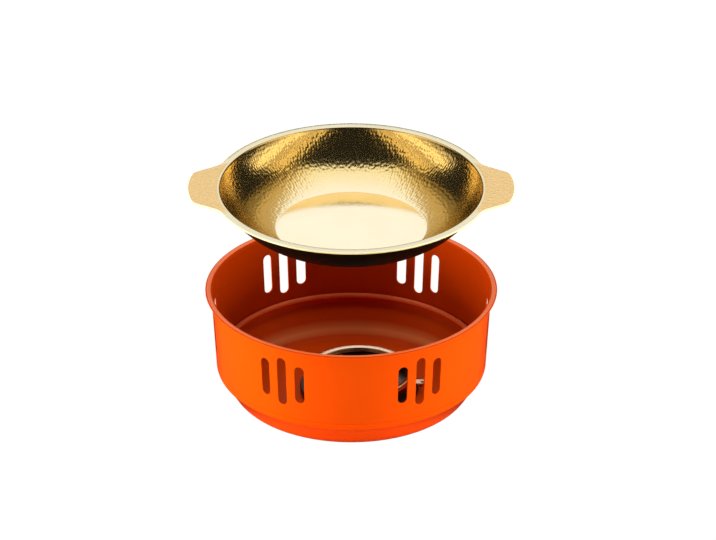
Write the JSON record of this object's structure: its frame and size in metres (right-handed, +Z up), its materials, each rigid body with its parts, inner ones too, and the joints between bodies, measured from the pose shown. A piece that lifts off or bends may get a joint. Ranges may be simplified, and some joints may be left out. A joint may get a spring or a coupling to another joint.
{
  "type": "chafing dish",
  "caption": "Round tabletop chafing dish: a slotted sheet-metal stove with an alcohol burner on its floor and a hammered two-eared pan that lifts off the rim.",
  "frame": {"origin": "centre of the stove's flat foot, on the surface it stands on", "axes": "+Z up along the stove's axis; the pan's two ears lie along X; -Y is the front of the picture"},
  "size_m": [0.2684, 0.24, 0.19],
  "materials": {
    "orange_enamel": "semi-gloss orange heat-proof enamel on sheet steel",
    "black_enamel": "satin black heat-proof enamel on sheet steel",
    "wick_fibre": "matt mineral fibre felt",
    "dark_steel": "heat-darkened perforated steel",
    "polished_steel": "polished stainless steel",
    "hammered_gold": "hammered gold-coloured metal inside and on the ears, black coating under the bowl"
  },
  "bodies": {
    "stove": {"stove_shell": "orange_enamel", "base_pan": "orange_enamel"},
    "burner": {"fuel_cup": "black_enamel", "wick_pad": "wick_fibre", "flame_plate": "dark_steel", "burner_ring": "polished_steel"},
    "regulator": {"regulator_sleeve": "black_enamel", "regulator_lever": "polished_steel", "lever_rivets": "polished_steel", "lever_knob": "polished_steel"},
    "pan": {"pan": "hammered_gold"}
  },
  "joints": [
    {"name": "pan_lift", "type": "slide", "parent": "stove", "child": "pan", "axis": [0, 0, 1], "range_m": [-0.0918, 0]},
    {"name": "burner_lift", "type": "slide", "parent": "stove", "child": "burner", "axis": [0, 0, 1], "range_m": [0, 0.03]},
    {"name": "regulator_turn", "type": "hinge", "parent": "burner", "child": "regulator", "pos_m": [0.0066, 0, 0.0115], "axis": [0, 0, 1], "range_deg": [0, 22.5]}
  ]
}
